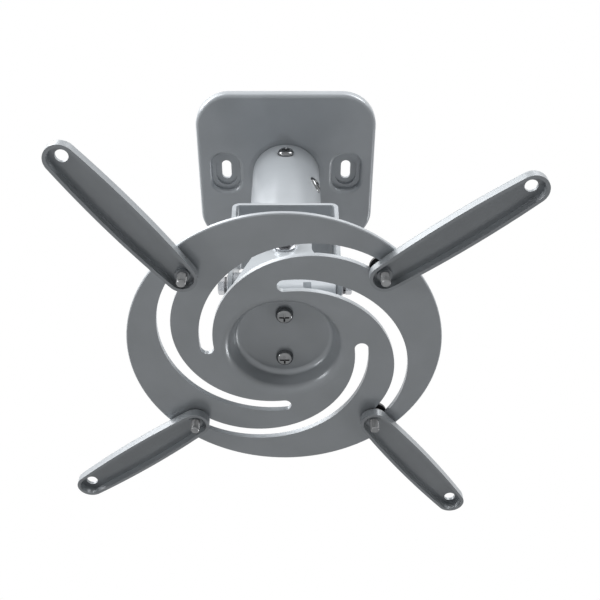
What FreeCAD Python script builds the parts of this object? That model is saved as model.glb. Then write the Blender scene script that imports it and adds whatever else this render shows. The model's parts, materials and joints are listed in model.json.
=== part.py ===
import FreeCAD, Part
import math
import os

# Ceiling mount for a projector, sizes in mm.
# The origin is the centre of the face that lies on the ceiling, +Z is up and the mount hangs below.
# The front is towards -Y.

# ceiling plate, a hollow casting
plate_width = 130.0
plate_depth = 122.0
plate_corner = 25.0
plate_rim = 7.0
plate_rim_round = 3.0
plate_rise = 2.8
plate_side_wall = 3.0
plate_skin = 2.6
plate_rib = 2.0
plate_shoulder = 3.5
pocket_width = 20.8
pocket_length = 29.6
pocket_end_round = 8.5
pocket_centre = 44.4
pocket_lip_round = 2.8
pocket_wall = 2.4
pocket_floor = 4.2
screw_seat_width = 15.2
screw_seat_length = 23.4
screw_seat_depth = 1.8
screw_slot_width = 7.0
screw_slot_length = 15.0

# column, a casting that turns on the spigot of the plate
column_radius = 24.5
column_wall = 4.5
column_length = 85.0
column_floor = 4.0
column_edge_chamfer = 0.8
column_floor_chamfer = 1.5
peg_radius = 2.4
peg_length = 2.0
peg_centre = 15.0
spigot_wall = 3.2
spigot_length = 46.0
groove_depth = 1.6
groove_width = 5.8
front_lock_drop = 13.5
side_lock_drop = 38.0
side_lock_turn = 60.0

# upper yoke, folded sheet, ears to the left and right
yoke_sheet = 2.5
yoke_web_sheet_depth = 50.0
yoke_outer_width = 68.0
yoke_bend_round = 5.0
yoke_drop = 56.5
yoke_ear_radius = 14.0
yoke_ear_shoulder = 9.0

# lower yoke, folded sheet, ears to the front and back
saddle_sheet = 3.0
saddle_outer_depth = 60.0
saddle_base_width = 57.0
saddle_bend_round = 5.5
saddle_drop = 45.5
saddle_ear_half_width = 16.0
saddle_neck = 5.5
saddle_neck_round = 8.0
dart_width = 6.0
dart_groove_width = 4.4
dart_centre = 12.8
dart_reach = 8.0
dart_groove_reach = 7.0

# cross block between the two yokes
hub_width = 27.0
hub_height = 22.0
hub_corner = 5.0
hub_edge_chamfer = 1.5
boss_radius = 8.0
hub_bore_radius = 5.0

# fasteners
pivot_bolt_radius = 3.0
pivot_bolt_length = 16.0
pivot_head_flats = 10.0
pivot_head_height = 4.0
pivot_spring_thickness = 1.6
pivot_spring_radius = 5.4
tilt_washer_radius = 6.3
roll_washer_radius = 8.0
pivot_washer_thickness = 1.2
column_bolt_radius = 4.0
column_bolt_flats = 13.0
column_bolt_head = 5.3
column_nut_height = 6.5
column_washer_radius = 8.0
column_washer_thickness = 1.6
lock_screw_radius = 2.5
lock_head_radius = 5.5
lock_head_height = 3.4
front_lock_seat_depth = 1.0
side_lock_seat_depth = 2.0
lock_seat_radius = 6.2
dish_screw_radius = 2.5
dish_head_radius = 5.0
dish_head_height = 3.8
dish_screw_margin = 4.58
dish_nut_flats = 8.0
dish_nut_height = 4.0
arm_screw_radius = 2.5
arm_screw_length = 16.0
arm_head_radius = 4.75
arm_head_height = 3.5
thread_end_chamfer = 0.6

# slotted plate with a dished centre
disc_sheet = 3.0
disc_edge_chamfer = 0.5
disc_margin = 13.2
dish_lip_radius = 36.0
dish_depth = 12.0
dish_wall_angle = 70.0
dish_lip_round = 6.0
dish_floor_round = 3.5
slot_width = 7.6
slot_land = 3.24
slot_turn = 135.0
slot_sweep = 136.8

# arms, pressed trays open downwards
arm_pivot_radius = 74.3
arm_reach = 85.75
arm_lean = 7.7
arm_end_radius = 8.2
arm_belly = 1.6
arm_sheet = 1.8
arm_tray_depth = 6.5
arm_top_round = 2.0
arm_hole_radius = 3.35
arm_collar_radius = 4.0
arm_collar_height = 2.0
bush_flange_radius = 7.75
bush_flange_thickness = 1.6
bush_shank_shortfall = 0.2
arm_spacer_radius = 7.0
arm_spacer_thickness = 0.4

# clearances
swivel_fit = 0.08
pivot_fit = 0.08
face_gap = 0.05
seat_gap = 0.2
boss_gap = 0.2
slot_fit = 0.1
bolt_clearance = 0.2
thread_fit = 0.05
groove_clearance = 0.15

# levels and centres that follow from the sizes
plate_face_level = -plate_rim - plate_rise
column_top_level = plate_face_level - seat_gap
column_foot_level = column_top_level - column_length
yoke_web_level = column_foot_level - yoke_sheet
pivot_level = column_foot_level - yoke_drop
saddle_base_level = pivot_level - saddle_drop
saddle_floor_level = saddle_base_level + saddle_sheet
disc_level = saddle_base_level - disc_sheet - dish_depth
disc_radius = arm_pivot_radius + disc_margin
dish_floor_level = disc_level + dish_depth
dish_wall = math.radians(dish_wall_angle)
dish_lip_corner = dish_lip_radius - dish_lip_round * math.tan(dish_wall / 2)
dish_floor_corner = dish_lip_corner - dish_depth / math.tan(dish_wall)
dish_flat_radius = dish_floor_corner - dish_floor_round * math.tan(dish_wall / 2)
dish_screw_centre = dish_flat_radius - dish_head_radius - dish_screw_margin
arm_top_level = disc_level - arm_spacer_thickness - 2 * face_gap
arm_floor_level = arm_top_level - arm_sheet
bush_level = disc_level + disc_sheet + face_gap
arm_head_level = bush_level + bush_flange_thickness
column_bore_radius = column_radius - column_wall
spigot_radius = column_bore_radius - swivel_fit
yoke_outer_x = yoke_outer_width / 2
yoke_inner_x = yoke_outer_x - yoke_sheet
yoke_half_depth = yoke_web_sheet_depth / 2
saddle_outer_y = saddle_outer_depth / 2
saddle_inner_y = saddle_outer_y - saddle_sheet
slot_start_radius = dish_lip_radius + slot_width / 2 + slot_land


def vec(x, y, z):
    return FreeCAD.Vector(x, y, z)


def point_on(plane, u, v, level):
    if plane == "XY":
        return vec(u, v, level)
    if plane == "XZ":
        return vec(u, level, v)
    return vec(level, u, v)


def normal_of(plane):
    return {"XY": vec(0, 0, 1), "XZ": vec(0, 1, 0), "YZ": vec(1, 0, 0)}[plane]


# closed outline through corners (u, v, round radius)
def outline(plane, corners, level):
    spans = []
    for index, (u, v, radius) in enumerate(corners):
        before = corners[index - 1]
        after = corners[(index + 1) % len(corners)]
        if radius <= 0:
            spans.append(((u, v), None, (u, v)))
            continue
        back = math.hypot(before[0] - u, before[1] - v)
        ahead = math.hypot(after[0] - u, after[1] - v)
        back_u, back_v = (before[0] - u) / back, (before[1] - v) / back
        ahead_u, ahead_v = (after[0] - u) / ahead, (after[1] - v) / ahead
        half = math.acos(back_u * ahead_u + back_v * ahead_v) / 2
        run = radius / math.tan(half)
        mid_u, mid_v = back_u + ahead_u, back_v + ahead_v
        size = math.hypot(mid_u, mid_v)
        middle = radius / math.sin(half) - radius
        start = (u + back_u * run, v + back_v * run)
        through = (u + mid_u / size * middle, v + mid_v / size * middle)
        end = (u + ahead_u * run, v + ahead_v * run)
        spans.append((start, through, end))
    edges = []
    for index, (start, through, end) in enumerate(spans):
        last = spans[index - 1][2]
        from_point = point_on(plane, last[0], last[1], level)
        to_point = point_on(plane, start[0], start[1], level)
        if from_point.distanceToPoint(to_point) > 1e-6:
            edges.append(Part.LineSegment(from_point, to_point).toShape())
        if through is not None:
            middle_point = point_on(plane, through[0], through[1], level)
            end_point = point_on(plane, end[0], end[1], level)
            edges.append(Part.Arc(to_point, middle_point, end_point).toShape())
    return Part.Wire(Part.sortEdges(edges)[0])


def prism(plane, corners, level, length):
    face = Part.Face(outline(plane, corners, level))
    return face.extrude(normal_of(plane) * length)


def rectangle(half_u, half_v, radius, centre_u=0.0, centre_v=0.0):
    signs = [(1, 1), (-1, 1), (-1, -1), (1, -1)]
    return [(centre_u + a * half_u, centre_v + b * half_v, radius) for a, b in signs]


# outline with half round ends
def long_hole(width, length, centre_u):
    return rectangle(width / 2, length / 2, width / 2 - 0.01, centre_u)


def cylinder(radius, level, height, x=0.0, y=0.0):
    return Part.makeCylinder(radius, height, vec(x, y, level))


def bar(radius, start, direction, length):
    return Part.makeCylinder(radius, length, start, direction)


def turned(corners):
    face = Part.Face(outline("XZ", corners, 0.0))
    return face.revolve(vec(0, 0, 0), vec(0, 0, 1), 360)


def edges_where(shape, test):
    return [edge for edge in shape.Edges if test(edge)]


def flat_at(edge, level):
    box = edge.BoundBox
    return abs(box.ZMin - level) < 0.01 and abs(box.ZMax - level) < 0.01


# moves a part made along +Z so that its axis runs along a direction from a point
def place(shape, start, direction):
    moved = shape.copy()
    moved.Placement = FreeCAD.Placement(start, FreeCAD.Rotation(vec(0, 0, 1), direction))
    return moved


def about_z(shape, angle, x=0.0, y=0.0):
    moved = shape.copy()
    moved.rotate(vec(x, y, 0), vec(0, 0, 1), angle)
    return moved


# fasteners are made with the underside of the head at zero and the shank along -Z
def shank(radius, length):
    chamfer = thread_end_chamfer
    corners = [(0, 0, 0), (radius, 0, 0), (radius, chamfer - length, 0)]
    corners += [(radius - chamfer, -length, 0), (0, -length, 0)]
    return turned(corners)


def pan_screw(radius, length, head_radius, head_height):
    corners = [(0, 0, 0), (head_radius, 0, 0), (head_radius, head_height, head_height * 0.6)]
    head = turned(corners + [(0, head_height, 0)])
    return head.fuse(shank(radius, length)).removeSplitter()


def hexagon(flats):
    corner = flats / math.sqrt(3)
    angles = [k * math.pi / 3 for k in range(6)]
    return [(corner * math.cos(angle), corner * math.sin(angle), 0) for angle in angles]


def hex_block(flats, height):
    block = prism("XY", hexagon(flats), 0, height)
    corner = flats / math.sqrt(3)
    drop = (corner - flats / 2) * 0.6
    rounding = [(0, 0, 0), (corner + 0.1, 0, 0), (corner + 0.1, height - drop, 0)]
    rounding += [(flats / 2, height, 0), (0, height, 0)]
    return block.common(turned(rounding))


def hex_bolt(radius, length, flats, head_height):
    return hex_block(flats, head_height).fuse(shank(radius, length)).removeSplitter()


def hex_nut(radius, flats, height):
    return hex_block(flats, height).cut(cylinder(radius, -1, height + 2))


def washer(outer_radius, inner_radius, thickness):
    return cylinder(outer_radius, 0, thickness).cut(cylinder(inner_radius, -1, thickness + 2))


def spring_washer(outer_radius, inner_radius, thickness):
    split = Part.makeBox(outer_radius, 0.8, thickness + 2, vec(0, -0.4, -1))
    return washer(outer_radius, inner_radius, thickness).cut(split)


# ceiling plate
def plate_ring(inset, level):
    radius = plate_corner - inset
    corners = rectangle(plate_width / 2 - inset, plate_depth / 2 - inset, radius)
    return outline("XY", corners, level)


def plate_crown(inset, level, drop, top_radius):
    base = plate_ring(inset, level)
    edges = []
    for edge in base.OrderedEdges:
        first, last = edge.firstVertex(True).Point, edge.lastVertex(True).Point
        angles = [math.atan2(p.y, p.x) for p in (first, last)]
        turn = (angles[1] - angles[0] + math.pi) % (2 * math.pi) - math.pi
        spots = [angles[0], angles[0] + turn / 2, angles[0] + turn]
        rim = [vec(top_radius * math.cos(a), top_radius * math.sin(a), level - drop) for a in spots]
        edges.append(Part.Arc(*rim).toShape())
    return Part.makeLoft([base, Part.Wire(edges)], True, True)


def pocket(grow, top, bottom, side):
    half_width = pocket_width / 2 + grow
    half_length = pocket_length / 2 + grow
    corners = rectangle(half_width, half_length, pocket_end_round + grow, side * pocket_centre)
    return prism("XY", corners, bottom, top - bottom)


def make_plate():
    crown_radius = column_radius + plate_shoulder
    rim = Part.Face(plate_ring(0, -plate_rim)).extrude(vec(0, 0, plate_rim))
    rim = rim.makeFillet(plate_rim_round, edges_where(rim, lambda e: flat_at(e, -plate_rim)))
    body = rim.fuse(plate_crown(plate_rim_round, -plate_rim, plate_rise, crown_radius))
    hollow_level = plate_skin - plate_rim
    hollow = Part.Face(plate_ring(plate_side_wall, hollow_level)).extrude(vec(0, 0, 1 - hollow_level))
    inner_inset = plate_side_wall + plate_rim_round
    hollow = hollow.fuse(plate_crown(inner_inset, hollow_level, plate_rise, crown_radius))
    bore = cylinder(spigot_radius - spigot_wall, column_top_level - spigot_length - 1, 60)
    collar = cylinder(spigot_radius, column_top_level - spigot_length, spigot_length - column_top_level)
    keep = collar
    for angle in (45, 135):
        corners = rectangle(plate_width * 0.62, plate_rib / 2, 0)
        rib = prism("XY", corners, hollow_level - plate_rise, plate_rise - hollow_level)
        keep = keep.fuse(about_z(rib, angle))
    for side in (-1, 1):
        keep = keep.fuse(pocket(pocket_wall, 0, plate_face_level, side))
    inside = body.common(keep).fuse(collar)
    plate = body.cut(hollow).fuse(inside)
    for side in (-1, 1):
        plate = plate.cut(pocket(0, -pocket_floor, plate_face_level - 1, side))
        seat = long_hole(screw_seat_width, screw_seat_length, side * pocket_centre)
        plate = plate.cut(prism("XY", seat, -pocket_floor - 1, screw_seat_depth + 1))
        slot = long_hole(screw_slot_width, screw_slot_length, side * pocket_centre)
        plate = plate.cut(prism("XY", slot, -pocket_floor - 1, pocket_floor + 2))
    plate = plate.cut(bore)
    for direction, level, seat in lock_places():
        groove = cylinder(spigot_radius + 1, level - groove_width / 2, groove_width)
        core = cylinder(spigot_radius - groove_depth, level - groove_width, 2 * groove_width)
        plate = plate.cut(groove.cut(core))
    return soften_pockets(plate.removeSplitter())


def soften_pockets(plate):
    def on_pocket_lip(edge):
        box = edge.BoundBox
        low = plate_face_level - 0.1 < box.ZMin and box.ZMax < -plate_rim + 0.1
        near = abs(abs(box.Center.x) - pocket_centre) < pocket_width / 2 + 0.1
        inside = abs(box.Center.y) < pocket_length / 2 + 0.1
        return low and near and inside and box.XMax * box.XMin > 0
    return plate.makeFillet(pocket_lip_round, edges_where(plate, on_pocket_lip))


# column
def make_column():
    outer = cylinder(column_radius, column_foot_level, column_length)
    rims = edges_where(outer, lambda e: flat_at(e, column_foot_level) or flat_at(e, column_top_level))
    outer = outer.makeChamfer(column_edge_chamfer, rims)
    floor = column_foot_level + column_floor
    corners = [(0, floor, 0), (column_bore_radius - column_floor_chamfer, floor, 0)]
    corners += [(column_bore_radius, floor + column_floor_chamfer, 0)]
    corners += [(column_bore_radius, 0, 0), (0, 0, 0)]
    column = outer.cut(turned(corners))
    bolt_hole = column_bolt_radius + bolt_clearance
    column = column.cut(cylinder(bolt_hole, column_foot_level - 1, column_floor + 2))
    for side in (-1, 1):
        peg = cylinder(peg_radius, column_foot_level - peg_length, peg_length + 1, side * peg_centre)
        column = column.fuse(peg)
    for direction, level, seat in lock_places():
        start = direction * seat + vec(0, 0, level)
        column = column.cut(bar(lock_seat_radius, start, direction, column_wall))
        middle = direction * (column_bore_radius - 2) + vec(0, 0, level)
        column = column.cut(bar(lock_screw_radius + thread_fit, middle, direction, column_wall + 2))
    return column


# direction, level and seat radius of the front and the side lock screw
def lock_places():
    turn = math.radians(side_lock_turn)
    front_seat = column_radius - front_lock_seat_depth
    side_seat = column_radius - side_lock_seat_depth
    front = (vec(0, -1, 0), column_top_level - front_lock_drop, front_seat)
    side = (vec(math.sin(turn), -math.cos(turn), 0), column_top_level - side_lock_drop, side_seat)
    return front, side


def make_lock_screw(direction, level, seat):
    tip = spigot_radius - groove_depth + groove_clearance
    screw = pan_screw(lock_screw_radius, seat - tip, lock_head_radius, lock_head_height)
    return place(screw, direction * seat + vec(0, 0, level), direction)


# upper yoke, section in XZ and ear outline in YZ
def make_upper_yoke():
    outer = yoke_bend_round
    inner = yoke_bend_round - yoke_sheet
    low = pivot_level - yoke_ear_radius
    corners = [(-yoke_outer_x, low, 0), (-yoke_outer_x, column_foot_level, outer)]
    corners += [(yoke_outer_x, column_foot_level, outer), (yoke_outer_x, low, 0)]
    corners += [(yoke_inner_x, low, 0), (yoke_inner_x, yoke_web_level, inner)]
    corners += [(-yoke_inner_x, yoke_web_level, inner), (-yoke_inner_x, low, 0)]
    strip = prism("XZ", corners, -yoke_half_depth, yoke_web_sheet_depth)
    yoke = strip.common(yoke_ear_outline())
    pin = vec(-yoke_outer_x - 1, 0, pivot_level)
    yoke = yoke.cut(bar(pivot_bolt_radius + pivot_fit, pin, vec(1, 0, 0), yoke_outer_width + 2))
    hole = cylinder(column_bolt_radius + bolt_clearance, yoke_web_level - 1, yoke_sheet + 2)
    yoke = yoke.cut(hole)
    for side in (-1, 1):
        peg_hole = peg_radius + thread_fit
        yoke = yoke.cut(cylinder(peg_hole, yoke_web_level - 1, yoke_sheet + 2, side * peg_centre))
    return yoke


def yoke_ear_outline():
    depth = yoke_half_depth
    shoulder = column_foot_level - yoke_ear_shoulder
    run = shoulder - pivot_level
    reach = math.hypot(run, depth)
    lean = math.atan2(depth, run) - math.asin(yoke_ear_radius / reach)
    base = pivot_level - yoke_ear_radius
    half = depth - (shoulder - base) * math.tan(lean)
    corners = [(-depth, column_foot_level + 1, 0), (depth, column_foot_level + 1, 0)]
    corners += [(depth, shoulder, 6), (half, base, yoke_ear_radius - 0.01)]
    corners += [(-half, base, yoke_ear_radius - 0.01), (-depth, shoulder, 6)]
    return prism("YZ", corners, -yoke_outer_x - 1, yoke_outer_width + 2)


# lower yoke, section in YZ and ear outline in XZ
def make_lower_yoke():
    outer = saddle_bend_round
    inner = saddle_bend_round - saddle_sheet
    top = pivot_level + saddle_ear_half_width
    corners = [(-saddle_outer_y, top, 0), (-saddle_outer_y, saddle_base_level, outer)]
    corners += [(saddle_outer_y, saddle_base_level, outer), (saddle_outer_y, top, 0)]
    corners += [(saddle_inner_y, top, 0), (saddle_inner_y, saddle_floor_level, inner)]
    corners += [(-saddle_inner_y, saddle_floor_level, inner), (-saddle_inner_y, top, 0)]
    strip = prism("YZ", corners, -saddle_base_width / 2, saddle_base_width)
    yoke = strip.common(saddle_ear_outline(top))
    for x_sign in (-1, 1):
        for y_sign in (-1, 1):
            yoke = add_dart(yoke, x_sign * dart_centre, y_sign)
    pin = vec(0, -saddle_outer_y - 1, pivot_level)
    yoke = yoke.cut(bar(pivot_bolt_radius + pivot_fit, pin, vec(0, 1, 0), saddle_outer_depth + 2))
    for side in (-1, 1):
        radius, y = dish_screw_radius + bolt_clearance, side * dish_screw_centre
        yoke = yoke.cut(cylinder(radius, saddle_base_level - 1, saddle_sheet + 2, 0, y))
    return yoke


def saddle_ear_outline(top):
    half = saddle_ear_half_width
    base_half = saddle_base_width / 2
    neck = pivot_level - saddle_neck
    foot = saddle_base_level + saddle_bend_round
    corners = [(-half, top, half - 0.01), (-half, neck, saddle_neck_round), (-base_half, foot, 4)]
    corners += [(-base_half, saddle_base_level - 1, 0), (base_half, saddle_base_level - 1, 0)]
    corners += [(base_half, foot, 4), (half, neck, saddle_neck_round), (half, top, half - 0.01)]
    return prism("XZ", corners, -saddle_outer_y - 1, saddle_outer_depth + 2)


# pressed dart across the bend: a groove outside and a rib inside
def add_dart(yoke, x, side):
    floor = saddle_floor_level
    wall = side * saddle_inner_y
    inward = wall - side * dart_reach
    rib_corners = [(wall + side, floor - 1, 0), (wall + side, floor + dart_reach, 0)]
    rib_corners += [(wall, floor + dart_reach, 0), (inward, floor, 0), (inward, floor - 1, 0)]
    rib = prism("YZ", rib_corners, x - dart_width / 2, dart_width)
    out = side * (saddle_outer_y + 1)
    deep = dart_groove_reach + 1
    groove_corners = [(out, saddle_base_level - 1, 0), (out, saddle_base_level + deep, 0)]
    groove_corners += [(side * (saddle_outer_y - deep), saddle_base_level - 1, 0)]
    groove = prism("YZ", groove_corners, x - dart_groove_width / 2, dart_groove_width)
    return yoke.fuse(rib).cut(groove)


# cross block with four bosses
def make_cross_block():
    half = hub_width / 2
    hub = prism("XY", rectangle(half, half, hub_corner), pivot_level - hub_height / 2, hub_height)
    low, high = pivot_level - hub_height / 2, pivot_level + hub_height / 2
    rims = edges_where(hub, lambda e: flat_at(e, low) or flat_at(e, high))
    hub = hub.makeChamfer(hub_edge_chamfer, rims)
    reach_x = yoke_inner_x - boss_gap
    reach_y = saddle_inner_y - boss_gap
    block = hub
    for direction, reach in ((vec(1, 0, 0), reach_x), (vec(0, 1, 0), reach_y)):
        start = direction * -reach + vec(0, 0, pivot_level)
        block = block.fuse(bar(boss_radius, start, direction, 2 * reach))
    for direction, seat in ((vec(1, 0, 0), tilt_head_seat()), (vec(0, 1, 0), roll_head_seat())):
        for side in (-1, 1):
            end = direction * (side * (seat - pivot_bolt_length - 2)) + vec(0, 0, pivot_level)
            block = block.cut(bar(pivot_bolt_radius + thread_fit, end, direction * side, 40))
    bore = cylinder(hub_bore_radius, pivot_level - hub_height, 2 * hub_height)
    return block.cut(bore).removeSplitter()


def tilt_head_seat():
    return yoke_outer_x + face_gap + pivot_washer_thickness + pivot_spring_thickness


def roll_head_seat():
    return saddle_outer_y + face_gap + pivot_washer_thickness + pivot_spring_thickness


# washer, spring washer and bolt outside one ear
def make_pivot_stack(direction, ear, washer_radius):
    hole = pivot_bolt_radius + bolt_clearance
    axis = vec(0, 0, pivot_level)
    level = ear + face_gap
    flat = washer(washer_radius, hole, pivot_washer_thickness)
    flat = place(flat, direction * level + axis, direction)
    level += pivot_washer_thickness
    spring = spring_washer(pivot_spring_radius, hole, pivot_spring_thickness)
    spring = place(spring, direction * level + axis, direction)
    level += pivot_spring_thickness
    bolt = hex_bolt(pivot_bolt_radius, pivot_bolt_length, pivot_head_flats, pivot_head_height)
    return flat, spring, place(bolt, direction * level + axis, direction)


# bolt, washer and nut that join column and upper yoke
def make_column_fixing():
    floor = column_foot_level + column_floor
    length = column_floor + yoke_sheet + column_washer_thickness + column_nut_height + 1.5
    bolt = hex_bolt(column_bolt_radius, length, column_bolt_flats, column_bolt_head)
    bolt = place(bolt, vec(0, 0, yoke_web_level), vec(0, 0, -1))
    flat = washer(column_washer_radius, column_bolt_radius + bolt_clearance, column_washer_thickness)
    flat = place(flat, vec(0, 0, floor), vec(0, 0, 1))
    nut = hex_nut(column_bolt_radius + thread_fit, column_bolt_flats, column_nut_height)
    return bolt, flat, place(nut, vec(0, 0, floor + column_washer_thickness), vec(0, 0, 1))


def make_dish_screw(side):
    length = disc_sheet + saddle_sheet + dish_nut_height + 1.0
    screw = pan_screw(dish_screw_radius, length, dish_head_radius, dish_head_height)
    return place(screw, vec(0, side * dish_screw_centre, dish_floor_level), vec(0, 0, -1))


def make_dish_nut(side):
    nut = hex_nut(dish_screw_radius + thread_fit, dish_nut_flats, dish_nut_height)
    return place(nut, vec(0, side * dish_screw_centre, saddle_floor_level), vec(0, 0, 1))


# centre of the arc that a slot follows, from its two ends
def slot_arc(diagonal):
    inner = math.radians(diagonal - slot_turn)
    outer = math.radians(diagonal)
    start = (slot_start_radius * math.cos(inner), slot_start_radius * math.sin(inner))
    end = (arm_pivot_radius * math.cos(outer), arm_pivot_radius * math.sin(outer))
    chord = math.hypot(end[0] - start[0], end[1] - start[1])
    half_sweep = math.radians(slot_sweep / 2)
    radius = chord / 2 / math.sin(half_sweep)
    drop = radius * math.cos(half_sweep)
    across = ((end[0] - start[0]) / chord, (end[1] - start[1]) / chord)
    centre = ((start[0] + end[0]) / 2 - across[1] * drop, (start[1] + end[1]) / 2 + across[0] * drop)
    first = math.atan2(start[1] - centre[1], start[0] - centre[0])
    return centre, radius, first


def slot_cutter(diagonal):
    centre, radius, first = slot_arc(diagonal)
    last = first + math.radians(slot_sweep)
    half = slot_width / 2
    level = disc_level - 1

    def spot(length, angle):
        return vec(centre[0] + length * math.cos(angle), centre[1] + length * math.sin(angle), level)

    middle = (first + last) / 2
    wide, narrow = radius + half, radius - half
    ahead = vec(-math.sin(last), math.cos(last), 0) * half
    behind = vec(math.sin(first), -math.cos(first), 0) * half
    outer_arc = Part.Arc(spot(wide, first), spot(wide, middle), spot(wide, last))
    far_end = Part.Arc(spot(wide, last), spot(radius, last) + ahead, spot(narrow, last))
    inner_arc = Part.Arc(spot(narrow, last), spot(narrow, middle), spot(narrow, first))
    near_end = Part.Arc(spot(narrow, first), spot(radius, first) + behind, spot(wide, first))
    wire = Part.Wire([arc.toShape() for arc in (outer_arc, far_end, inner_arc, near_end)])
    return Part.Face(wire).extrude(vec(0, 0, disc_sheet + 2))


def make_disc():
    low, sheet = disc_level, disc_sheet
    shift = sheet * math.tan(dish_wall / 2)
    lip, floor = dish_lip_corner, dish_floor_corner
    edge = disc_edge_chamfer
    corners = [(disc_radius - edge, low, 0), (disc_radius, low + edge, 0)]
    corners += [(disc_radius, low + sheet - edge, 0), (disc_radius - edge, low + sheet, 0)]
    corners += [(lip + shift, low + sheet, dish_lip_round - sheet)]
    corners += [(floor + shift, low + sheet + dish_depth, dish_floor_round + sheet)]
    corners += [(0, low + sheet + dish_depth, 0), (0, low + dish_depth, 0)]
    corners += [(floor, low + dish_depth, dish_floor_round), (lip, low, dish_lip_round)]
    disc = turned(corners)
    for diagonal in (45, 135, 225, 315):
        disc = disc.cut(slot_cutter(diagonal))
    for side in (-1, 1):
        radius, y = dish_screw_radius + bolt_clearance, side * dish_screw_centre
        disc = disc.cut(cylinder(radius, dish_floor_level - 1, sheet + 2, 0, y))
    return disc


# arms are made along +X from the pivot at the origin, then turned to their diagonal
def arm_wire(inset, level):
    end = arm_end_radius - inset
    half = arm_reach / 2
    sag = (half * half - arm_belly * arm_belly) / (2 * arm_belly)
    side_radius = sag + arm_end_radius + arm_belly - inset
    lean = math.atan2(half, sag)
    touch_x = end * math.sin(lean)
    touch_y = end * math.cos(lean)
    belly = side_radius - sag
    left, right = -touch_x, arm_reach + touch_x
    near_side = Part.Arc(vec(left, -touch_y, level), vec(half, -belly, level), vec(right, -touch_y, level))
    far_end = Part.Arc(vec(right, -touch_y, level), vec(arm_reach + end, 0, level), vec(right, touch_y, level))
    far_side = Part.Arc(vec(right, touch_y, level), vec(half, belly, level), vec(left, touch_y, level))
    near_end = Part.Arc(vec(left, touch_y, level), vec(-end, 0, level), vec(left, -touch_y, level))
    return Part.Wire([arc.toShape() for arc in (near_side, far_end, far_side, near_end)])


def arm_blank():
    rim = arm_top_level - arm_tray_depth
    outer = Part.Face(arm_wire(0, rim)).extrude(vec(0, 0, arm_tray_depth))
    outer = outer.makeFillet(arm_top_round, edges_where(outer, lambda e: flat_at(e, arm_top_level)))
    inner = Part.Face(arm_wire(arm_sheet, rim - 1)).extrude(vec(0, 0, arm_floor_level - rim + 1))
    arm = outer.cut(inner)
    collar_level = arm_floor_level - arm_collar_height
    arm = arm.fuse(cylinder(arm_collar_radius, collar_level, arm_collar_height + 1))
    arm = arm.cut(cylinder(arm_screw_radius + pivot_fit, rim, arm_tray_depth + 1))
    return arm.cut(cylinder(arm_hole_radius, rim, arm_tray_depth + 1, arm_reach)).removeSplitter()


def at_pivot(shape, diagonal):
    moved = about_z(shape, diagonal + arm_lean)
    angle = math.radians(diagonal)
    moved.translate(vec(arm_pivot_radius * math.cos(angle), arm_pivot_radius * math.sin(angle), 0))
    return moved


def arm_screw_blank():
    screw = pan_screw(arm_screw_radius, arm_screw_length, arm_head_radius, arm_head_height)
    return place(screw, vec(0, 0, arm_head_level), vec(0, 0, 1))


def bush_blank():
    low = bush_level - face_gap - disc_sheet + bush_shank_shortfall
    flange = cylinder(bush_flange_radius, bush_level, bush_flange_thickness)
    bush = flange.fuse(cylinder(slot_width / 2 - slot_fit, low, bush_level - low))
    return bush.cut(cylinder(arm_screw_radius + thread_fit, low - 1, 20))


def spacer_blank():
    ring = washer(arm_spacer_radius, arm_screw_radius + thread_fit, arm_spacer_thickness)
    ring.translate(vec(0, 0, arm_top_level + face_gap))
    return ring


def build():
    left, right = vec(-1, 0, 0), vec(1, 0, 0)
    front, back = vec(0, -1, 0), vec(0, 1, 0)
    nodes = {}
    nodes["ceiling_plate"] = make_plate()
    nodes["column"] = make_column()
    for word, lock_place in zip(("front", "side"), lock_places()):
        nodes[f"lock_screw_{word}"] = make_lock_screw(*lock_place)
    fixing = make_column_fixing()
    nodes["column_bolt"], nodes["column_washer"], nodes["column_nut"] = fixing
    nodes["upper_yoke"] = make_upper_yoke()
    nodes["cross_block"] = make_cross_block()
    for word, direction in (("left", left), ("right", right)):
        stack = make_pivot_stack(direction, yoke_outer_x, tilt_washer_radius)
        for kind, shape in zip(("washer", "spring", "bolt"), stack):
            nodes[f"tilt_{kind}_{word}"] = shape
    for word, direction in (("front", front), ("back", back)):
        stack = make_pivot_stack(direction, saddle_outer_y, roll_washer_radius)
        for kind, shape in zip(("washer", "spring", "bolt"), stack):
            nodes[f"roll_{kind}_{word}"] = shape
    nodes["lower_yoke"] = make_lower_yoke()
    nodes["slotted_disc"] = make_disc()
    for word, side in (("front", -1), ("back", 1)):
        nodes[f"dish_screw_{word}"] = make_dish_screw(side)
        nodes[f"dish_nut_{word}"] = make_dish_nut(side)
    blanks = {"arm": arm_blank(), "arm_screw": arm_screw_blank()}
    blanks["arm_bush"] = bush_blank()
    blanks["arm_spacer"] = spacer_blank()
    for number in range(1, 5):
        for name, blank in blanks.items():
            nodes[f"{name}_{number}"] = at_pivot(blank, 90 * number - 45)
    return nodes


os.makedirs("parts", exist_ok=True)
for node_name, node_shape in build().items():
    solids = node_shape.Solids
    if len(solids) != 1 or not node_shape.isValid():
        raise ValueError(f"{node_name} has {len(solids)} solids, valid {node_shape.isValid()}")
    solids[0].exportStep(f"parts/{node_name}.step")
    print(node_name, round(solids[0].Volume, 1))
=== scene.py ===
import json
import math
import bpy
import numpy as np
from mathutils import Matrix, Vector


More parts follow.
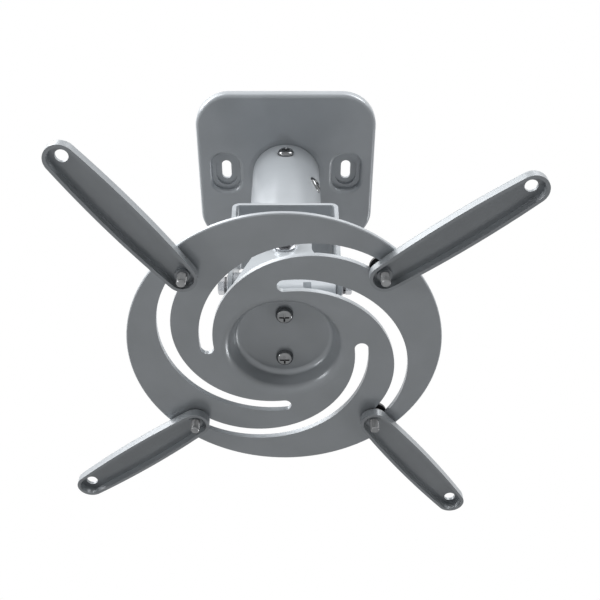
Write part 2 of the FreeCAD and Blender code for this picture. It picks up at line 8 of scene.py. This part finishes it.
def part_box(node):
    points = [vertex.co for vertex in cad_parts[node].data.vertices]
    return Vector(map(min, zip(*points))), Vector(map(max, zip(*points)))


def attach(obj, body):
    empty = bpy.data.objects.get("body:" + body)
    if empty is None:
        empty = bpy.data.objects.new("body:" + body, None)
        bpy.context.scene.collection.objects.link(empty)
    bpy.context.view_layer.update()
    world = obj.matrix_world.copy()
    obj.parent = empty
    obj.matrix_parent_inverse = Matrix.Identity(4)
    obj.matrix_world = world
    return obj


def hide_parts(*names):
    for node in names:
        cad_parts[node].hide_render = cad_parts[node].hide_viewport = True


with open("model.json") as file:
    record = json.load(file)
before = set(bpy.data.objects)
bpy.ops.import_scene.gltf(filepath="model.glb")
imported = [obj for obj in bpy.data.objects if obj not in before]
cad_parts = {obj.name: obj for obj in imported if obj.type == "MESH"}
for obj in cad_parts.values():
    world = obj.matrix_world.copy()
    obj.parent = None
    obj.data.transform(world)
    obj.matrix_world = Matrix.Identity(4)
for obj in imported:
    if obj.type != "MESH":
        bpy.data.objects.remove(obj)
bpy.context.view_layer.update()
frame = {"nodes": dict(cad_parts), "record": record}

# Ceiling mount for a projector, seen from below and in front.
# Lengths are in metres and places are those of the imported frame:
# the ceiling face is at z = 0 and the front is -Y.

mm = 0.001
armNumbers = range(1, 5)
bodies = frame["record"]["behaviour"]["bodies"]
bodyOf = {node: body for body, nodes in bodies.items() for node in nodes}
print("frame loaded:", len(frame["nodes"]), "nodes")


# camera

cameraValues = {
    "place": (0.00459, -0.3146, -0.5896),
    "elevation": 53.369,  # degrees upwards
    "heading": 0.8115,    # degrees from +Y towards +X
    "roll": -0.7614,      # degrees
    "lens": 52.82,
    "sensor": 36,
    "nearest": 0.01,      # anything closer to the camera isn't drawn
}


def makeCamera(values):
    angles = (math.radians(values[key]) for key in ("elevation", "heading", "roll"))
    elevation, heading, roll = angles
    flat = math.cos(elevation)
    view = Vector((math.sin(heading) * flat, math.cos(heading) * flat, math.sin(elevation)))
    right = view.cross(Vector((0, 0, 1))).normalized()
    up = right.cross(view)
    turnedRight = math.cos(roll) * right + math.sin(roll) * up
    turnedUp = math.cos(roll) * up - math.sin(roll) * right
    data = bpy.data.cameras.new("camera")
    data.sensor_width = values["sensor"]
    data.lens = values["lens"]
    data.clip_start = values["nearest"]
    camera = bpy.data.objects.new("camera", data)
    bpy.context.scene.collection.objects.link(camera)
    turn = Matrix((turnedRight, turnedUp, -view)).transposed().to_4x4()
    camera.matrix_world = Matrix.Translation(values["place"]) @ turn
    bpy.context.scene.camera = camera


makeCamera(cameraValues)


# light, floor and background

# a lamp's size is the width of its disc, and its power is in watts
lampValues = {
    "keyLeft": {"place": (-1.5, -1.05, 1.15), "aim": (0, 0, -0.12), "size": 2.2, "power": 46},
    "keyRight": {"place": (0.95, -1.45, 1.0), "aim": (0, 0, -0.12), "size": 1.5, "power": 18},
    "midLeft": {"place": (-1.3, -0.65, 0.2), "aim": (0, 0, -0.1), "size": 0.8, "power": 17},
    "midRight": {"place": (1.0, -0.95, 0.2), "aim": (0, 0, -0.1), "size": 0.8, "power": 11},
    "lowRight": {"place": (1.15, 0.9, -0.64), "aim": (0, 0, -0.2), "size": 0.35, "power": 3.3},
    "lowLeft": {"place": (-1.35, -0.4, -0.66), "aim": (0, 0, -0.2), "size": 0.35, "power": 3.3},
}
floorValues = {
    "level": -1.25,
    "radius": 14,
    "sides": 96,
    "near": (0.05, 0.051, 0.053),  # what lights the object from straight below
    "far": (0.6, 0.6, 0.6),        # and from low down all round
    "nearRadius": 0.9,
    "farRadius": 2.4,
    "seen": (0.45, 0.45, 0.45),    # as the camera and the glosses see it, with the glow
    "glow": 0.38,
    "roughness": 0.9,
    "specular": 0.1,
}
# strength for light that spreads, and as the camera and the glosses see it
skyValues = {"diffuse": 0.4, "seen": 1.0}
white = (1, 1, 1, 1)


def makeLamp(name, values):
    data = bpy.data.lights.new(name, "AREA")
    data.shape = "DISK"
    data.size = values["size"]
    data.energy = values["power"]
    lamp = bpy.data.objects.new(name, data)
    lamp.visible_camera = False
    bpy.context.scene.collection.objects.link(lamp)
    lamp.location = values["place"]
    beam = Vector(values["aim"]) - Vector(values["place"])
    lamp.rotation_euler = beam.to_track_quat("-Z", "Y").to_euler()


def seenDirectly(tree):
    # 1 for what the camera sees straight on, in a gloss or through glass, 0 for light that spreads
    path = tree.nodes.new("ShaderNodeLightPath")
    total = path.outputs["Is Camera Ray"]
    for name in ("Is Glossy Ray", "Is Transmission Ray"):
        larger = tree.nodes.new("ShaderNodeMath")
        larger.operation = "MAXIMUM"
        tree.links.new(total, larger.inputs[0])
        tree.links.new(path.outputs[name], larger.inputs[1])
        total = larger.outputs[0]
    return total


def shadeBetween(tree, factor, dark, light):
    node = tree.nodes.new("ShaderNodeMix")
    node.data_type = "RGBA"
    node.inputs["A"].default_value = (*dark, 1)
    node.inputs["B"].default_value = (*light, 1)
    tree.links.new(factor, node.inputs["Factor"])
    return node.outputs["Result"]


# The colour goes from near to far with the distance from the frame's origin.
def floorMaterial(values):
    material = bpy.data.materials.new("paleFloor")
    material.use_nodes = True
    tree = material.node_tree
    place = tree.nodes.new("ShaderNodeTexCoord").outputs["Object"]
    distance = tree.nodes.new("ShaderNodeVectorMath")
    distance.operation = "LENGTH"
    tree.links.new(place, distance.inputs[0])
    share = tree.nodes.new("ShaderNodeMapRange")
    share.interpolation_type = "SMOOTHSTEP"
    share.inputs["From Min"].default_value = math.hypot(values["nearRadius"], values["level"])
    share.inputs["From Max"].default_value = math.hypot(values["farRadius"], values["level"])
    tree.links.new(distance.outputs["Value"], share.inputs["Value"])
    lit = shadeBetween(tree, share.outputs["Result"], values["near"], values["far"])
    seen = seenDirectly(tree)
    mix = tree.nodes.new("ShaderNodeMix")
    mix.data_type = "RGBA"
    mix.inputs["B"].default_value = (*values["seen"], 1)
    tree.links.new(lit, mix.inputs["A"])
    tree.links.new(seen, mix.inputs["Factor"])
    glow = tree.nodes.new("ShaderNodeMath")
    glow.operation = "MULTIPLY"
    glow.inputs[1].default_value = values["glow"]
    tree.links.new(seen, glow.inputs[0])
    shader = tree.nodes["Principled BSDF"]
    shader.inputs["Roughness"].default_value = values["roughness"]
    shader.inputs["Specular IOR Level"].default_value = values["specular"]
    shader.inputs["Emission Color"].default_value = white
    tree.links.new(mix.outputs["Result"], shader.inputs["Base Color"])
    tree.links.new(glow.outputs[0], shader.inputs["Emission Strength"])
    return material


def makeFloor(values):
    angles = np.linspace(0, 2 * np.pi, values["sides"], endpoint=False)
    rim = np.stack([np.cos(angles), np.sin(angles), 0 * angles], 1) * values["radius"]
    rim += (0, 0, values["level"])
    mesh = bpy.data.meshes.new("floor")
    mesh.from_pydata(rim.tolist(), [], [list(range(values["sides"]))])
    mesh.materials.append(floorMaterial(values))
    floor = bpy.data.objects.new("floor", mesh)
    bpy.context.scene.collection.objects.link(floor)


def makeSky(values):
    world = bpy.data.worlds.new("sky")
    bpy.context.scene.world = world
    world.use_nodes = True
    tree = world.node_tree
    background = tree.nodes["Background"]
    background.inputs["Color"].default_value = white
    strength = tree.nodes.new("ShaderNodeMapRange")
    strength.inputs["To Min"].default_value = values["diffuse"]
    strength.inputs["To Max"].default_value = values["seen"]
    tree.links.new(seenDirectly(tree), strength.inputs["Value"])
    tree.links.new(strength.outputs["Result"], background.inputs["Strength"])


for lampName, values in lampValues.items():
    makeLamp(lampName, values)
makeFloor(floorValues)
makeSky(skyValues)
bpy.context.scene.view_settings.view_transform = "Standard"
print("camera, light and floor made")


# finishes: grain and cloud count a pattern's waves in a metre, height is the bump's strength
# and depth its size in metres

paintValues = {
    "castSilver": {
        "dark": (0.33, 0.352, 0.374), "light": (0.362, 0.386, 0.41), "metallic": 0.2,
        "roughness": (0.3, 0.33), "grain": 500, "height": 0.03,
    },
    "sheetSilver": {
        "dark": (0.36, 0.385, 0.405), "light": (0.395, 0.42, 0.445), "metallic": 0.2,
        "roughness": (0.28, 0.31), "grain": 600, "height": 0.012,
    },
    # the sheet's silver powder coat painted darker: painted shade for the arms' recessed channels
    "armSilverPaintedShade": {
        "dark": (0.29, 0.309, 0.328), "light": (0.32, 0.343, 0.362), "metallic": 0.2,
        "roughness": (0.3, 0.32), "grain": 600, "height": 0.006,
    },
    "blockSilver": {
        "dark": (0.42, 0.44, 0.46), "light": (0.48, 0.5, 0.525), "metallic": 0.4,
        "roughness": (0.32, 0.38), "grain": 500, "height": 0.05,
    },
}
# what all the painted finishes share
coatValues = {"cloud": 45, "detail": 2.0, "depth": 0.0002, "weight": 0.08, "roughness": 0.35}

metalValues = {
    "zincPlate": {
        "dark": (0.5, 0.51, 0.53), "light": (0.58, 0.59, 0.61),
        "roughness": (0.24, 0.32), "grain": 700,
    },
    # chrome with a painted dark reflection: its colour is darkened for the dark surroundings it
    # would mirror
    "chromePaintedDarkReflection": {
        "dark": (0.17, 0.175, 0.18), "light": (0.22, 0.225, 0.23),
        "roughness": (0.1, 0.18), "grain": 900,
    },
    "greyZinc": {
        "dark": (0.2, 0.205, 0.21), "light": (0.28, 0.285, 0.29),
        "roughness": (0.28, 0.38), "grain": 900,
    },
    "darkSteel": {
        "dark": (0.12, 0.12, 0.125), "light": (0.2, 0.2, 0.21),
        "roughness": (0.3, 0.42), "grain": 800,
    },
}
# what all the metals share, the cloud as a share of the grain
markValues = {"cloud": 0.25, "detail": 4.0, "height": 0.08, "depth": 0.00005}

nylonValues = {
    "dark": (0.012, 0.012, 0.013), "light": (0.022, 0.022, 0.024),
    "roughness": (0.42, 0.55), "grain": 1500, "cloud": 200, "height": 0.2, "depth": 0.00008,
}
noiseSpan = (0.3, 0.7)  # most of a noise lies between these


def newFinish(name):
    material = bpy.data.materials.new(name)
    material.use_nodes = True
    tree = material.node_tree
    coordinates = tree.nodes.new("ShaderNodeTexCoord")
    return material, tree, tree.nodes["Principled BSDF"], coordinates.outputs["Object"]


def noise(tree, place, scale, detail=3.0):
    node = tree.nodes.new("ShaderNodeTexNoise")
    node.inputs["Scale"].default_value = scale
    node.inputs["Detail"].default_value = detail
    tree.links.new(place, node.inputs["Vector"])
    return node.outputs["Fac"]


def between(tree, factor, low, high):
    node = tree.nodes.new("ShaderNodeMapRange")
    node.inputs["From Min"].default_value = noiseSpan[0]
    node.inputs["From Max"].default_value = noiseSpan[1]
    node.inputs["To Min"].default_value = low
    node.inputs["To Max"].default_value = high
    tree.links.new(factor, node.inputs["Value"])
    return node.outputs["Result"]


def raised(tree, height, strength, distance):
    node = tree.nodes.new("ShaderNodeBump")
    node.inputs["Strength"].default_value = strength
    node.inputs["Distance"].default_value = distance
    tree.links.new(height, node.inputs["Height"])
    return node.outputs["Normal"]


# Colour from one pattern, roughness from another, and the bump given as a normal.
def dress(tree, shader, values, cloud, gloss, normal):
    colour = shadeBetween(tree, between(tree, cloud, 0, 1), values["dark"], values["light"])
    tree.links.new(colour, shader.inputs["Base Color"])
    tree.links.new(between(tree, gloss, *values["roughness"]), shader.inputs["Roughness"])
    tree.links.new(normal, shader.inputs["Normal"])


# Satin powder coat: cloudy colour and roughness, and a fine orange peel.
def paint(name, values):
    material, tree, shader, place = newFinish(name)
    cloud = noise(tree, place, coatValues["cloud"])
    peel = noise(tree, place, values["grain"], coatValues["detail"])
    bump = raised(tree, peel, values["height"], coatValues["depth"])
    dress(tree, shader, values, cloud, cloud, bump)
    shader.inputs["Metallic"].default_value = values["metallic"]
    shader.inputs["Coat Weight"].default_value = coatValues["weight"]
    shader.inputs["Coat Roughness"].default_value = coatValues["roughness"]
    return material


# Bare or plated metal: faint cloudiness and fine handling marks.
def metal(name, values):
    material, tree, shader, place = newFinish(name)
    cloud = noise(tree, place, values["grain"] * markValues["cloud"])
    marks = noise(tree, place, values["grain"], markValues["detail"])
    bump = raised(tree, marks, markValues["height"], markValues["depth"])
    dress(tree, shader, values, cloud, marks, bump)
    shader.inputs["Metallic"].default_value = 1.0
    return material


# Moulded nylon: nearly even black with a fine grain.
def nylon(name, values):
    material, tree, shader, place = newFinish(name)
    cloud = noise(tree, place, values["cloud"])
    grain = noise(tree, place, values["grain"])
    bump = raised(tree, grain, values["height"], values["depth"])
    dress(tree, shader, values, cloud, grain, bump)
    return material


finishes = {name: paint(name, values) for name, values in paintValues.items()}
finishes.update({name: metal(name, values) for name, values in metalValues.items()})
finishes["blackNylon"] = nylon("blackNylon", nylonValues)
finishOfSlot = {
    "silver_casting": "castSilver",
    "silver_sheet": "sheetSilver",
    "zinc_casting": "blockSilver",
    # the screws' chrome carries a painted dark reflection in its colour
    "chrome_screw": "chromePaintedDarkReflection",
    "zinc_fastener": "zincPlate",
    "dark_spring": "darkSteel",
    "black_nylon": "blackNylon",
}
for node in frame["nodes"].values():
    for materialSlot in node.material_slots:
        slotName = materialSlot.material.name.split(".")[0]
        materialSlot.material = finishes[finishOfSlot[slotName]]
# the arms take the silver coat painted darker, as painted shade for their channels
for number in armNumbers:
    frame["nodes"][f"arm_{number}"].material_slots[0].material = finishes["armSilverPaintedShade"]
print("finishes made:", len(finishes))


# screws, bolts and spring washers, each worked out as rings round an axis

fastenerValues = {
    "columns": 72,            # points round a screw or bolt
    "sharpAngle": 32,         # degrees, past which an edge stays sharp
    "threadRings": 8,         # in each pitch
    "threadPeak": 1.35,       # height of the wave before its tops are cut flat at 1
    "threadDepth": 0.6,       # share of the pitch
    "threadStart": 0.1 * mm,  # below the head
    "neck": 1.02,             # share of the thread's radius, where it meets the head
    "tipChamfer": 0.6 * mm,
}
roundAngles = np.linspace(0, 2 * np.pi, fastenerValues["columns"], endpoint=False)


# Rings are joined each to the next, every ring closes on itself, and both ends close on
# a middle point. A surface that comes out facing inwards has its faces turned round.
def ringSurface(name, rings, finish, body, replaced):
    rows, columns = rings.shape[:2]
    row, column = np.meshgrid(np.arange(rows - 1), np.arange(columns), indexing="ij")
    start, nextStart = row * columns, (row + 1) * columns
    nextColumn = (column + 1) % columns
    corners = [start + column, start + nextColumn, nextStart + nextColumn, nextStart + column]
    quads = np.stack(corners, -1).reshape(-1, 4)
    points = rings.reshape(-1, 3)
    around = np.arange(columns)
    ahead = (around + 1) % columns
    last = (rows - 1) * columns
    firstFan = np.stack([ahead, around, np.full(columns, len(points))], 1)
    lastFan = np.stack([last + around, last + ahead, np.full(columns, len(points) + 1)], 1)
    points = np.concatenate([points, rings[0].mean(0)[None], rings[-1].mean(0)[None]])
    faces = quads.tolist() + firstFan.tolist() + lastFan.tolist()
    oneWay = points[quads[:, 2]] - points[quads[:, 0]]
    otherWay = points[quads[:, 3]] - points[quads[:, 1]]
    outward = np.cross(oneWay, otherWay) * (points[quads[:, 0]] - points.mean(0))
    if outward.sum() < 0:
        faces = [face[::-1] for face in faces]
    mesh = bpy.data.meshes.new(name)
    mesh.from_pydata(points.tolist(), [], faces)
    mesh.shade_smooth()
    mesh.set_sharp_from_angle(angle=math.radians(fastenerValues["sharpAngle"]))
    mesh.materials.append(finishes[finish])
    piece = bpy.data.objects.new(name, mesh)
    bpy.context.scene.collection.objects.link(piece)
    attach(piece, body)
    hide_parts(replaced)


# Turns points made along +Z so that their axis runs along a direction from a place.
def along(points, place, direction):
    turn = np.array(Vector((0, 0, 1)).rotation_difference(Vector(direction)).to_matrix())
    return points @ turn.T + np.array(place)


# Ring of radius(angle) at height(angle).
def ring(radius, height):
    across, upwards = radius * np.cos(roundAngles), radius * np.sin(roundAngles)
    return np.stack([across, upwards, height + 0 * roundAngles], -1)


# Thread: the radius goes from root to crest and back once in each pitch, as a wave with its
# tops and bottoms cut flat. The wave moves on by one pitch in each turn, and fades out
# within a pitch of either end.
def threadRings(radius, start, end, pitch):
    count = int(round(abs(end - start) / pitch * fastenerValues["threadRings"])) + 1
    heights = np.linspace(start, end, count)[:, None]
    phase = heights / pitch - roundAngles[None] / (2 * np.pi)
    peak = fastenerValues["threadPeak"]
    wave = np.clip(peak - 2 * peak * np.abs(phase - np.floor(phase) - 0.5), 0, 1)
    fade = np.clip(np.minimum(abs(heights - start), abs(end - heights)) / pitch, 0, 1)
    depth = fastenerValues["threadDepth"] * pitch * fade
    return ring(radius - depth * (1 - wave), heights)


# Neck under the head, thread and chamfered tip, from the head's seat downwards.
def shankRings(radius, length, pitch):
    chamfer = fastenerValues["tipChamfer"]
    neck = ring(radius * fastenerValues["neck"], 0)
    thread = threadRings(radius, -fastenerValues["threadStart"], chamfer - length, pitch)
    return [neck, *thread, ring(radius - chamfer, -length)]


screwValues = {
    "crossLength": 0.56,              # shares of the head's radius
    "crossWidth": 0.2,
    "bendStart": 0.62,
    "crossDepth": 0.55,               # shares of the head's height
    "crown": 0.1,
    "lipDepth": 0.06,
    "sideHeight": 0.28,
    "bendHeight": 0.68,
    "floorShares": (0.55, 0.85),      # shares of the recess's edge
    "lipShares": (0.97, 1.03),
    "crownShares": (0.2, 0.45, 0.7),  # of the way from that edge to the bend
    "bendRings": 9,
    "crossPower": 8,
    "rimHeight": 0.2 * mm,
    "rimInset": 0.15 * mm,
}


# Edge of a cross recess: round each of its four arms a superellipse, whose half axes are
# the arm's length and half its width.
def crossEdge(length, width, power):
    offset = (roundAngles + np.pi / 4) % (np.pi / 2) - np.pi / 4
    outwards = (np.cos(offset) / length) ** power
    sideways = (np.abs(np.sin(offset)) / (width / 2)) ** power
    return 1 / (outwards + sideways) ** (1 / power)


# Pan head screw: recess floor, recess wall, domed head, neck, thread and tip, as rings from
# the middle of the head outwards. The dome falls with the square of the radius, and bends
# over into the side by a quarter of an ellipse.
def panScrew(name, values, size, length, place, direction, node):
    headRadius, headHeight = size["headRadius"], size["headHeight"]
    crown, bendStart = values["crown"] * headHeight, values["bendStart"]
    crossLength, crossWidth = headRadius * values["crossLength"], headRadius * values["crossWidth"]
    edge = crossEdge(crossLength, crossWidth, values["crossPower"])
    floorHeight = headHeight * (1 - values["crossDepth"])
    rings = [ring(edge * share, floorHeight) for share in values["floorShares"]]
    edgeHeight = headHeight - crown * (edge / headRadius) ** 2
    inner, outer = values["lipShares"]
    rings.append(ring(edge * inner, edgeHeight - values["lipDepth"] * headHeight))
    rings.append(ring(edge * outer, edgeHeight))
    for share in values["crownShares"]:
        radius = edge * (1 - share) + headRadius * bendStart * share
        rings.append(ring(radius, headHeight - crown * (radius / headRadius) ** 2))
    for bend in np.radians(np.linspace(0, 90, values["bendRings"])):
        radius = headRadius * (bendStart + (1 - bendStart) * np.sin(bend))
        share = values["sideHeight"] + values["bendHeight"] * np.cos(bend)
        rings.append(ring(radius, headHeight * share))
    rings += [ring(headRadius, values["rimHeight"]), ring(headRadius - values["rimInset"], 0)]
    rings += shankRings(size["radius"], length, size["pitch"])
    points = along(np.stack(rings), place, direction)
    ringSurface(name, points, size["finish"], bodyOf[node], node)


# Middle of a node's box, and the box's corners
def middleOf(node):
    low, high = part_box(node)
    return (low + high) / 2, low, high


lockValues = {
    "headRadius": 5.5 * mm, "headHeight": 3.4 * mm, "radius": 2.5 * mm, "pitch": 0.8 * mm,
    # seats and tips are given by their distance from the column's axis, and turn is in
    # degrees from the front towards the right
    "tipRadius": 18.45 * mm,
    "front": {"turn": 0, "seatRadius": 23.5 * mm},
    "side": {"turn": 60, "seatRadius": 22.5 * mm},
    "finish": "chromePaintedDarkReflection", "slot": "chrome_screw",
}
dishScrewValues = {
    "headRadius": 5.0 * mm, "headHeight": 3.8 * mm, "radius": 2.5 * mm, "pitch": 0.8 * mm,
    "finish": "chromePaintedDarkReflection", "slot": "chrome_screw",
}
armScrewValues = {
    "headRadius": 4.75 * mm, "headHeight": 3.5 * mm, "radius": 2.5 * mm, "pitch": 0.8 * mm,
    "finish": "greyZinc", "slot": "zinc_fastener",
}

for side in ("front", "side"):
    node, name = f"lock_screw_{side}", f"lockScrew{side.capitalize()}"
    turn = math.radians(lockValues[side]["turn"])
    outward = Vector((math.sin(turn), -math.cos(turn), 0))
    seatRadius = lockValues[side]["seatRadius"]
    seat = outward * seatRadius + Vector((0, 0, middleOf(node)[0].z))
    length = seatRadius - lockValues["tipRadius"]
    panScrew(name, screwValues, lockValues, length, seat, outward, node)

for side in ("front", "back"):
    node, name = f"dish_screw_{side}", f"dishScrew{side.capitalize()}"
    middle, low, high = middleOf(node)
    head = dishScrewValues["headHeight"]
    seat = (middle.x, middle.y, low.z + head)
    length = high.z - low.z - head
    panScrew(name, screwValues, dishScrewValues, length, seat, (0, 0, -1), node)

for number in armNumbers:
    node, name = f"arm_screw_{number}", f"armScrew{number}"
    middle, low, high = middleOf(node)
    head = armScrewValues["headHeight"]
    seat = (middle.x, middle.y, high.z - head)
    length = high.z - low.z - head
    panScrew(name, screwValues, armScrewValues, length, seat, (0, 0, 1), node)

boltValues = {
    "flats": 10.0 * mm, "head": 4.0 * mm, "radius": 3.0 * mm, "length": 16.0 * mm,
    "pitch": 1.0 * mm,
    "faceShare": 0.95,        # round faces on and under the head, as a share of the flats
    "middleShare": 0.5,       # one more ring on the top face, as a share of that face
    "coneAngle": 30,          # degrees
    "edge": 0.1 * mm,
    "seatHeight": 0.25 * mm,
    "finish": "zincPlate", "slot": "zinc_fastener",
}


# Hexagon head: the distance to the nearest flat divided by the cosine of the angle from it,
# under a cone that takes off the corners, with a round seat below.
def hexBolt(name, values, place, direction, node):
    offset = roundAngles % (np.pi / 3) - np.pi / 6
    hexagon = values["flats"] / 2 / np.cos(offset)
    face = values["flats"] / 2 * values["faceShare"]
    top, edge, seatHeight = values["head"], values["edge"], values["seatHeight"]
    cone = top - (hexagon - face) * math.tan(math.radians(values["coneAngle"]))
    rings = [ring(face * values["middleShare"], top), ring(face, top), ring(hexagon - edge, cone)]
    rings += [ring(hexagon, cone - edge), ring(hexagon, seatHeight + edge)]
    rings += [ring(hexagon - edge, seatHeight), ring(face, seatHeight), ring(face, 0)]
    rings += shankRings(values["radius"], values["length"], values["pitch"])
    points = along(np.stack(rings), place, direction)
    ringSurface(name, points, values["finish"], bodyOf[node], node)


springValues = {
    "outer": 5.4 * mm, "inner": 3.2 * mm, "thickness": 1.6 * mm,
    "edge": 0.25 * mm,  # radius of the section's corners
    "gap": 9.0,         # degrees
    "sections": 120,
    "cornerPoints": 4,
    "finish": "darkSteel", "slot": "dark_spring",
}


# Split spring washer: a rounded square section carried round the axis from one side of
# the gap to the other.
def springWasher(name, values, place, direction, node):
    halfGap = values["gap"] / 2
    turn = np.radians(np.linspace(halfGap, 360 - halfGap, values["sections"]))[:, None]
    corner = np.radians(np.linspace(0, 90, values["cornerPoints"]))
    halfWidth = (values["outer"] - values["inner"]) / 2
    halfHeight = values["thickness"] / 2
    edge = values["edge"]
    across, upwards = [], []
    for quarter, (u, v) in enumerate(((1, 1), (-1, 1), (-1, -1), (1, -1))):
        bend = corner + quarter * np.pi / 2
        across.append(u * (halfWidth - edge) + edge * np.cos(bend))
        upwards.append(v * (halfHeight - edge) + edge * np.sin(bend))
    across = np.concatenate(across) + (values["outer"] + values["inner"]) / 2
    upwards = np.concatenate(upwards) + halfHeight
    points = np.stack([across * np.cos(turn), across * np.sin(turn), upwards + 0 * turn], -1)
    points = along(points, place, direction)
    ringSurface(name, points, values["finish"], bodyOf[node], node)


# joint, its axis (0 for X, 1 for Y), side, and which way along the axis that side lies
hingeSides = [
    ("tilt", 0, "left", -1), ("tilt", 0, "right", 1),
    ("roll", 1, "front", -1), ("roll", 1, "back", 1),
]
for kind, axis, side, sign in hingeSides:
    direction = Vector((0, 0, 0))
    direction[axis] = sign
    node = f"{kind}_bolt_{side}"
    seat, low, high = middleOf(node)
    seat[axis] = (high if sign > 0 else low)[axis] - sign * boltValues["head"]
    hexBolt(f"{kind}Bolt{side.capitalize()}", boltValues, seat, direction, node)
    node = f"{kind}_spring_{side}"
    seat, low, high = middleOf(node)
    seat[axis] = (low if sign > 0 else high)[axis]
    springWasher(f"{kind}Spring{side.capitalize()}", springValues, seat, direction, node)
print("fasteners made")
